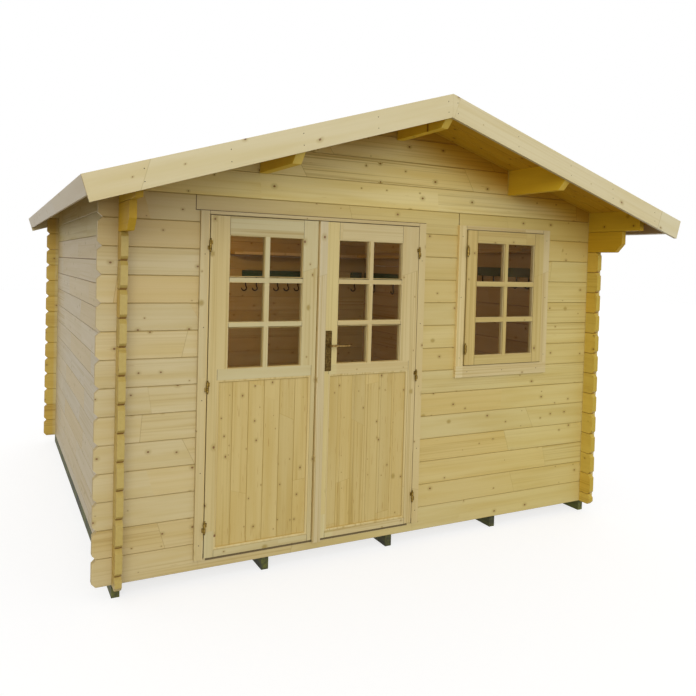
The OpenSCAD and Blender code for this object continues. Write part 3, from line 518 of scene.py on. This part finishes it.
def editEdges(piece, test):
    editMode(piece, "EDGE")
    bpy.ops.mesh.select_all(action="DESELECT")
    bpy.ops.object.mode_set(mode="OBJECT")
    for edge in piece.data.edges:
        a, b = (piece.data.vertices[i].co for i in edge.vertices)
        edge.select = bool(test(a, b))
    bpy.ops.object.mode_set(mode="EDIT")


def bevelEdges(piece, test, width, segments=1):
    editEdges(piece, test)
    bpy.ops.mesh.bevel(offset=width, segments=segments, affect="EDGES")
    bpy.ops.object.mode_set(mode="OBJECT")


def softenEdges(piece, width, segments=2, angle=35):
    chooseOnly(piece)
    modifier = piece.modifiers.new("softEdges", "BEVEL")
    modifier.width, modifier.segments = width, segments
    modifier.limit_method, modifier.angle_limit = "ANGLE", math.radians(angle)
    bpy.ops.object.modifier_apply(modifier=modifier.name)


def smoothRound(piece, angle=35):
    chooseOnly(piece)
    bpy.ops.object.shade_smooth_by_angle(angle=math.radians(angle))


def copyPiece(piece, shift=(0, 0, 0), turn=(0, 0, 0)):
    # a copy with its own mesh, turned about the world's origin and then moved
    chooseOnly(piece)
    bpy.ops.object.duplicate()
    twin = bpy.context.object
    twin.rotation_euler = [math.radians(angle) for angle in turn]
    twin.location = shift
    return applyPlace(twin, piece.name + "Copy")


def joinPieces(name, pieces):
    chooseOnly(*pieces)
    if len(pieces) > 1:
        bpy.ops.object.join()
    pieces[0].name = pieces[0].data.name = name
    return pieces[0]


def repeatAlong(name, piece, count, step):
    # the piece and its copies in a row, joined
    row = [piece] + [copyPiece(piece, [i * v for v in step]) for i in range(1, count)]
    return joinPieces(name, row)


def finishPiece(piece, material, body, slot, *replaced):
    clearSelection()
    piece.data.materials.clear()
    piece.data.materials.append(material)
    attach(piece, body)
    if replaced:
        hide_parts(*replaced)


def addRing(name, left, right, foot, top, width, front, back, soft):
    # a rectangular moulding in an upright plane, rounded on the inner edge of its front
    clearSelection()
    bpy.ops.mesh.primitive_plane_add(size=1, location=((left + right) / 2, front, (foot + top) / 2),
                                     rotation=(math.radians(90), 0, 0))
    piece = bpy.context.object
    piece.scale = (right - left, top - foot, 1)
    applyPlace(piece, name)
    editMode(piece)
    bpy.ops.mesh.select_all(action="SELECT")
    bpy.ops.mesh.inset(thickness=width)
    bpy.ops.mesh.delete(type="FACE")
    bpy.ops.mesh.select_all(action="SELECT")
    bpy.ops.mesh.extrude_region_move(TRANSFORM_OT_translate={"value": (0, back - front, 0)})
    bpy.ops.mesh.select_all(action="SELECT")
    bpy.ops.mesh.normals_make_consistent(inside=False)
    middle = Vector(((left + right) / 2, front, (foot + top) / 2))
    half = ((right - left) / 2 - width * 0.5, (top - foot) / 2 - width * 0.5)

    def innerFront(a, b):
        return all(abs(v.y - front) < 1e-5 and abs(v.x - middle.x) < half[0]
                   and abs(v.z - middle.z) < half[1] for v in (a, b))

    bevelEdges(piece, innerFront, soft, 3)
    return piece


# Boards of the roof, from the ridge down to each eave, with grooves underneath.


def addRoofSide(name, side, node):
    ends = sorted((-roof["overlap"] * side, roof["length"] * side))
    low = -roof["thick"]
    board = addBlock(name, (ends[0], roof["start"], low),
                     (ends[1], roof["start"] + roofPitch - roof["gap"], 0.0))
    bevelEdges(board, lambda a, b: abs(a.x - b.x) > 1 and abs(a.z - low) < 1e-5, roof["groove"])
    bevelEdges(board, lambda a, b: abs(a.x - b.x) > 1 and abs(a.z) < 1e-5, roof["edge"])
    chooseOnly(board)
    board.rotation_euler.y = math.radians(roof["angle"]) * side
    board.location.z = roof["top"]
    applyPlace(board, name)
    editMode(board)
    bpy.ops.mesh.select_all(action="SELECT")
    bpy.ops.mesh.bisect(plane_co=(0, 0, 0), plane_no=(-side, 0, 0), use_fill=True, clear_outer=True)
    bpy.ops.object.mode_set(mode="OBJECT")
    boards = repeatAlong(name, board, roof["count"], (0, roofPitch, 0))
    finishPiece(boards, roofBoardsLeft if side < 0 else roofBoardsRight, "building", "board_wood", node)


addRoofSide("roofBoardsLeftLaid", -1, "roof_boards_left")
addRoofSide("roofBoardsRightLaid", 1, "roof_boards_right")
print("roof boards laid")

# Boards of the floor.


def addFloor():
    low, high = flooring["low"], flooring["high"]
    board = addBlock("floorBoard", low, (high[0], low[1] + floorPitch - flooring["gap"], high[2]))
    bevelEdges(board, lambda a, b: abs(a.x - b.x) > 1 and abs(a.z - high[2]) < 1e-5, flooring["groove"])
    boards = repeatAlong("floorBoardsLaid", board, flooring["count"], (0, floorPitch, 0))
    finishPiece(boards, floorBoards, "building", "board_wood", "floor_boards")


addFloor()
print("floor boards laid")

# The boarded lower halves of the doors, their mouldings, and the glazing beads.

leaves = {
    "left": {"panel": (-1.0876, -0.5504), "glass": -1.034, "body": "left_door"},
    "right": {"panel": (-0.4406, 0.0906), "glass": -0.392, "body": "right_door"},
}
panel = {"foot": 0.1654, "top": 1.0616, "front": -1.529, "back": -1.511, "boards": 6, "groove": 0.0013,
         "bead": 0.013, "beadOut": 0.0085}
glazing = {"rows": ((1.119, 0.217), (1.362, 0.217), (1.605, 0.217)), "width": 0.1975, "bar": 0.026,
           "bead": 0.0035, "soft": 0.0028, "faces": ((-1.5335, -1.5226), (-1.5065, -1.5174))}
windowPanes = {"rows": ((1.130, 0.2146), (1.3706, 0.2016), (1.5983, 0.2476)), "left": 0.577, "width": 0.224,
               "faces": ((-1.5415, -1.5306), (-1.5145, -1.5254))}


def addPanel(side, leaf):
    left, right = leaf["panel"]
    pitch = (right - left) / panel["boards"]
    board = addBlock("panelBoard", (left, panel["front"], panel["foot"]),
                     (left + pitch - 0.0003, panel["back"], panel["top"]))
    bevelEdges(board, lambda a, b: abs(a.z - b.z) > 0.5, panel["groove"])
    boards = repeatAlong(side + "PanelBoards", board, panel["boards"], (pitch, 0, 0))
    finishPiece(boards, panelWood, leaf["body"], "joinery_wood", side + "_door_panel")
    beads = [addRing("panelBead", left, right, panel["foot"], panel["top"], panel["bead"],
                     face + out * panel["beadOut"], face, 0.006)
             for face, out in ((panel["front"], -1), (panel["back"], 1))]
    finishPiece(joinPieces(side + "PanelMoulding", beads), beadWood, leaf["body"], "joinery_wood")


def addGlazingBeads(name, left, width, rows, faces, body):
    beads = []
    for out, deep in faces:
        for foot, tall in rows:
            first = addRing("glazingBead", left, left + width, foot, foot + tall, glazing["bead"], out, deep,
                            glazing["soft"])
            beads += [first, copyPiece(first, (width + glazing["bar"], 0, 0))]
    finishPiece(joinPieces(name, beads), beadWood, body, "joinery_wood")


for side, leaf in leaves.items():
    addPanel(side, leaf)
    addGlazingBeads(side + "GlazingBeads", leaf["glass"], glazing["width"], glazing["rows"], glazing["faces"],
                    leaf["body"])
addGlazingBeads("windowGlazingBeads", windowPanes["left"], windowPanes["width"], windowPanes["rows"],
                windowPanes["faces"], "building")
print("door panels and glazing beads ready")

# Lever handle with its long plates.

handle = {"x": -0.448, "z": 1.227, "middle": -1.520,
          "plateLow": (-0.469, -1.543, 1.0805), "plateHigh": (-0.427, -1.540, 1.3095),
          "keyhole": 1.153, "keyRadius": 0.0036, "slotHalf": 0.0014, "slotDrop": 0.012,
          "cut": (-1.5465, -1.5415), "collar": 0.0115,
          "rod": 0.0065, "stem": 0.034, "stemEnd": -1.572, "elbow": 0.014, "reach": 0.104}


def addPlate():
    # a long plate with a raised middle, cut through for the key
    low, high = handle["plateLow"], handle["plateHigh"]
    plate = addBlock("handlePlate", low, high)
    bevelEdges(plate, lambda a, b: abs(a.y - b.y) > 0.002, 0.006, 4)
    editFaces(plate, lambda centre, normal: normal.y < -0.9)
    bpy.ops.mesh.inset(thickness=0.0035)
    bpy.ops.mesh.extrude_region_move(TRANSFORM_OT_translate={"value": (0, -0.0016, 0)})
    bpy.ops.transform.resize(value=(0.93, 1, 0.985))
    bpy.ops.mesh.inset(thickness=0.0025)
    bpy.ops.mesh.extrude_region_move(TRANSFORM_OT_translate={"value": (0, 0.0007, 0)})
    softenEdges(plate, 0.0004, 2)
    x, z, (front, back) = handle["x"], handle["keyhole"], handle["cut"]
    cutter = addRod("keyCutter", (x, (front + back) / 2, z), handle["keyRadius"], back - front, "Y")
    slot = addBlock("slotCutter", (x - handle["slotHalf"], front, z - handle["slotDrop"]),
                    (x + handle["slotHalf"], back, z))
    for tool in (cutter, slot):
        cut = plate.modifiers.new("keyhole", "BOOLEAN")
        cut.operation, cut.solver, cut.object = "DIFFERENCE", "EXACT", tool
        chooseOnly(plate)
        bpy.ops.object.modifier_apply(modifier=cut.name)
    chooseOnly(cutter, slot)
    bpy.ops.object.delete()
    collar = addRod("handleCollar", (x, front, handle["z"]), handle["collar"], 0.006, "Y", 24)
    softenEdges(collar, 0.0015, 3)
    smoothRound(collar)
    return joinPieces("handlePlate", [plate, collar])


def addLeverSide():
    # one arm: out of the plate, round an elbow, then along, thinner and flatter towards its end
    x, z, stemEnd = handle["x"], handle["z"], handle["stemEnd"]
    arm = addRod("leverArm", (x, stemEnd + handle["stem"] / 2, z), handle["rod"], handle["stem"], "Y", 16)
    editFaces(arm, lambda centre, normal: normal.y < -0.9)
    bpy.ops.mesh.spin(steps=7, angle=math.radians(-90), axis=(0, 0, 1),
                      center=(x + handle["elbow"], stemEnd, z))
    y = stemEnd - handle["elbow"]
    places = ((0.16, 0.92, 1.00, 0.0010), (0.30, 0.86, 0.95, -0.0005), (0.55, 0.88, 1.02, -0.0012),
              (0.80, 0.95, 1.06, 0.0004), (0.95, 0.92, 0.96, 0.0008), (1.00, 0.55, 0.60, 0.0))
    reached = 0.0
    for share, thick, tall, rise in places:
        bpy.ops.mesh.extrude_region_move(TRANSFORM_OT_translate={
            "value": ((share - reached) * handle["reach"], 0, rise)})
        reached = share
        bpy.ops.transform.resize(value=(1, thick, tall),
                                 center_override=(x + handle["elbow"] + reached * handle["reach"], y, z))
    bpy.ops.mesh.select_all(action="SELECT")
    bpy.ops.mesh.remove_doubles(threshold=0.00005)
    bpy.ops.mesh.normals_make_consistent(inside=False)
    softenEdges(arm, 0.0008, 2, 50)
    smoothRound(arm, 40)
    return arm


def addHandle():
    turn = {"turn": (0, 0, 180), "shift": (2 * handle["x"], 2 * handle["middle"], 0)}
    outer = addPlate()
    plates = joinPieces("handlePlatesPair", [outer, copyPiece(outer, **turn)])
    finishPiece(plates, antiqueMetal, "right_door", "handle_metal", "handle_plates")
    arm = addLeverSide()
    chooseOnly(arm)
    bpy.ops.object.duplicate()
    other = bpy.context.object
    other.scale = (1, -1, 1)
    other.location = (0, 2 * handle["middle"], 0)
    applyPlace(other, "leverArmInside")
    editMode(other)
    bpy.ops.mesh.select_all(action="SELECT")
    bpy.ops.mesh.normals_make_consistent(inside=False)
    bpy.ops.object.mode_set(mode="OBJECT")
    spindle = addRod("leverSpindle", (handle["x"], handle["middle"], handle["z"]), handle["rod"] * 0.98,
                     0.05, "Y")
    finishPiece(joinPieces("doorLeverPair", [arm, other, spindle]), leverMetal, "lever", "handle_metal",
                "door_lever")


addHandle()
print("handle ready")

# Screws, hinge finials, nails and hooks.

hinge = {"knob": 0.0062, "pinEnd": 0.0262, "x": (-1.1405, 0.1435), "y": -1.548, "z": (0.292, 1.029, 1.767),
         "window": (0.4995, -1.556), "windowZ": (1.177, 1.789)}
screw = {"radius": 0.0026, "height": 0.0012, "plateFace": -1.5442, "plateZ": (1.092, 1.298)}
nails = {"radius": 0.0024, "height": 0.0014, "trimFace": -1.5385, "bargeFace": -2.0416,
         "doorX": (-1.166, 0.169), "doorZ": (0.20, 0.58, 0.96, 1.34, 1.72),
         "windowX": (0.468, 1.160), "windowZ": (1.12, 1.50, 1.88),
         "sillX": (0.53, 0.81, 1.10), "sillZ": 1.030,
         "bargeX": (0.03, 0.45, 0.85, 1.20, 1.578), "bargeDrops": ((0.0, 0.035), (0.004, 0.09))}


def addScrew():
    head = addRod("screwHead", (0, 0, 0), screw["radius"], screw["height"], "Y", 12)
    editFaces(head, lambda centre, normal: normal.y < -0.9)
    bpy.ops.mesh.inset(thickness=0.0007)
    bpy.ops.mesh.extrude_region_move(TRANSFORM_OT_translate={"value": (0, 0.0005, 0)})
    bpy.ops.transform.resize(value=(0.5, 1, 0.5))
    bpy.ops.object.mode_set(mode="OBJECT")
    return head


def scatter(name, piece, places, material, body, slot):
    copies = [copyPiece(piece, place) for place in places]
    chooseOnly(piece)
    bpy.ops.object.delete()
    finishPiece(joinPieces(name, copies), material, body, slot)


def addFinials():
    # a small turned knob on each end of each hinge pin
    def knob(sign):
        tip = addRod("finialTip", (0, 0, sign * 0.0012), hinge["knob"] * 0.8, 0.0024, "Z", 16)
        for rise, spread in ((0.0012, 0.62), (0.0014, 1.7), (0.0022, 1.0), (0.0016, 0.72), (0.0008, 0.4)):
            editFaces(tip, lambda centre, normal: normal.z * sign > 0.9
                      and abs(centre.z) > max(abs(v.co.z) for v in tip.data.vertices) - 1e-5)
            bpy.ops.mesh.extrude_region_move(TRANSFORM_OT_translate={"value": (0, 0, sign * rise)})
            bpy.ops.transform.resize(value=(spread, spread, 1))
            bpy.ops.object.mode_set(mode="OBJECT")
        smoothRound(tip, 50)
        return tip

    tips = []
    for sign in (-1, 1):
        first = knob(sign)
        places = [(x, hinge["y"], z + sign * hinge["pinEnd"]) for x in hinge["x"] for z in hinge["z"]]
        places += [(*hinge["window"], z + sign * hinge["pinEnd"]) for z in hinge["windowZ"]]
        tips += [copyPiece(first, place) for place in places]
        chooseOnly(first)
        bpy.ops.object.delete()
    finishPiece(joinPieces("hingeFinials", tips), brassMetal, "building", "brass")


def addNails():
    rows = ((nails["doorX"], nails["doorZ"]), (nails["windowX"], nails["windowZ"]),
            (nails["sillX"], (nails["sillZ"],)))
    places = [(x, nails["trimFace"], z) for across, up in rows for x in across for z in up]
    for x in sorted(side * x for side in (-1, 1) for x in nails["bargeX"]):
        top = roof["top"] - abs(x) * roofFall
        places += [(x + aside, nails["bargeFace"], top - drop) for aside, drop in nails["bargeDrops"]]
    head = addRod("nailHead", (0, 0, 0), nails["radius"], nails["height"], "Y", 10)
    scatter("nailHeads", head, places, darkMetal, "building", "handle_metal")


addFinials()
addNails()
plateScrews = [(handle["x"], screw["plateFace"], z) for z in screw["plateZ"]]
scatter("plateScrews", addScrew(), plateScrews, brassMetal, "right_door", "brass")
print("small fittings ready")

hooks = {"rod": 0.006, "stem": 0.080, "turnOut": 0.020, "bend": 0.026, "lean": 40.0, "curl": 225.0,
         "backWall": 1.697, "sideWall": 1.550, "low": 1.525, "high": 1.670,
         "back": (0.175, 0.116, 9), "corner": (1.432, 0.0, 1),      # first place, step, count
         "side": (1.458, -0.39, 4), "near": (-0.382, -0.141, 5)}


def addHook():
    # a bent rod that drops out of the rail, swings aside and curls back
    hook = addRod("coatHook", (0, 0, 0.004), hooks["rod"], 0.008, "Z", 8)
    out, bend, foot = hooks["turnOut"], hooks["bend"], -hooks["stem"]
    lean = math.radians(hooks["lean"])
    x, z = out * (1 - math.cos(lean)), foot - out * math.sin(lean)
    editFaces(hook, lambda centre, normal: normal.z < -0.9)
    bpy.ops.mesh.extrude_region_move(TRANSFORM_OT_translate={"value": (0, 0, foot)})
    bpy.ops.mesh.spin(steps=3, angle=lean, center=(out, 0, foot), axis=(0, 1, 0))
    bpy.ops.mesh.spin(steps=12, angle=-math.radians(hooks["curl"]), axis=(0, 1, 0),
                      center=(x - bend * math.cos(lean), 0, z - bend * math.sin(lean)))
    bpy.ops.mesh.select_all(action="SELECT")
    bpy.ops.mesh.remove_doubles(threshold=0.00005)
    bpy.ops.mesh.normals_make_consistent(inside=False)
    smoothRound(hook, 40)
    return hook


def hookRow(name):
    first, step, count = hooks[name]
    return [first + step * i for i in range(count)]


def addHooks():
    hook = addHook()
    backRow = [(x, hooks["backWall"], hooks["low"]) for x in hookRow("back") + hookRow("corner")]
    sideRow = [(hooks["sideWall"], y, hooks["low"]) for y in hookRow("side")]
    sideRow += [(hooks["sideWall"], y, hooks["high"]) for y in hookRow("near")]
    rows = [copyPiece(hook, place) for place in backRow]
    rows += [copyPiece(hook, place, (0, 0, -90)) for place in sideRow]
    chooseOnly(hook)
    bpy.ops.object.delete()
    finishPiece(joinPieces("coatHooks", rows), darkMetal, "building", "handle_metal")


addHooks()
print("hooks ready")

# Floor, light and camera.

stageLook = {"size": 60.0, "floor": 0.34, "lift": 0.72, "sky": 0.76,
             "sun": 1.75, "sunAngle": 50.0, "sunTilt": 78.0, "sunTurn": -14.0,
             "room": 19.0, "roomPlace": (-0.8, 0.65, 2.0), "roomColour": (1.0, 0.70, 0.38)}


def seenDirectly(tree):
    # 1 for the camera and for what metal and glass show, 0 for light on the object
    path = addNode(tree, "ShaderNodeLightPath")
    return doMath(tree, "MAXIMUM", doMath(tree, "MAXIMUM", path.outputs["Is Camera Ray"],
                                          path.outputs["Is Glossy Ray"]), path.outputs["Is Transmission Ray"])


def buildStage():
    bpy.ops.object.select_all(action="DESELECT")
    bpy.ops.mesh.primitive_plane_add(size=stageLook["size"], location=(0, 0, 0))
    floor = bpy.context.object
    floor.name = "floor"
    material, tree, shader = newMaterial("paleFloor", rough=0.9)
    shade = stageLook["floor"]
    shader.inputs["Base Color"].default_value = (shade, shade, shade, 1.0)
    shader.inputs["Emission Color"].default_value = (1.0, 1.0, 1.0, 1.0)
    lift = doMath(tree, "MULTIPLY", seenDirectly(tree), stageLook["lift"])
    tree.links.new(lift, shader.inputs["Emission Strength"])
    floor.data.materials.append(material)

    world = bpy.data.worlds.new("softSky")
    world.use_nodes = True
    tree = world.node_tree
    tree.nodes.clear()
    strength = doMath(tree, "MULTIPLY_ADD", seenDirectly(tree), 1.0 - stageLook["sky"], stageLook["sky"])
    back = addNode(tree, "ShaderNodeBackground", {"Color": (1.0, 1.0, 1.0, 1.0), "Strength": strength})
    out = addNode(tree, "ShaderNodeOutputWorld")
    tree.links.new(back.outputs[0], out.inputs[0])
    bpy.context.scene.world = world

    bpy.ops.object.light_add(type="SUN", location=(-3, -6, 8))
    sun = bpy.context.object
    sun.name = "softSun"
    sun.data.energy = stageLook["sun"]
    sun.data.angle = math.radians(stageLook["sunAngle"])
    sun.rotation_euler = (math.radians(stageLook["sunTilt"]), 0, math.radians(stageLook["sunTurn"]))

    # a weak lamp in the room, so that it can be seen into
    bpy.ops.object.light_add(type="POINT", radius=0.35, location=stageLook["roomPlace"])
    lamp = bpy.context.object
    lamp.name = "roomLamp"
    lamp.data.energy = stageLook["room"]
    lamp.data.color = stageLook["roomColour"]


def buildCamera():
    view = {"place": (-2.158, -5.046, 1.690), "turn": 27.5, "tilt": -1.45, "roll": 1.6, "focal": 692.5,
            "middle": 281.3, "width": 696}      # focal length and middle for a picture of this width
    camera = bpy.data.cameras.new("viewCamera")
    rig = bpy.data.objects.new("viewCamera", camera)
    bpy.context.scene.collection.objects.link(rig)
    camera.sensor_width = 36.0
    camera.lens = view["focal"] * camera.sensor_width / view["width"]
    camera.shift_y = view["middle"] / view["width"] - 0.5
    rig.location = view["place"]
    turn, tilt = math.radians(view["turn"]), math.radians(view["tilt"])
    heading = Vector((math.sin(turn) * math.cos(tilt), math.cos(turn) * math.cos(tilt), math.sin(tilt)))
    rig.rotation_euler = heading.to_track_quat("-Z", "Y").to_euler()
    rig.rotation_euler.rotate_axis("Z", math.radians(view["roll"]))
    bpy.context.scene.camera = rig


buildStage()
buildCamera()
bpy.context.scene.view_settings.view_transform = "Standard"
print("stage, light and camera ready")
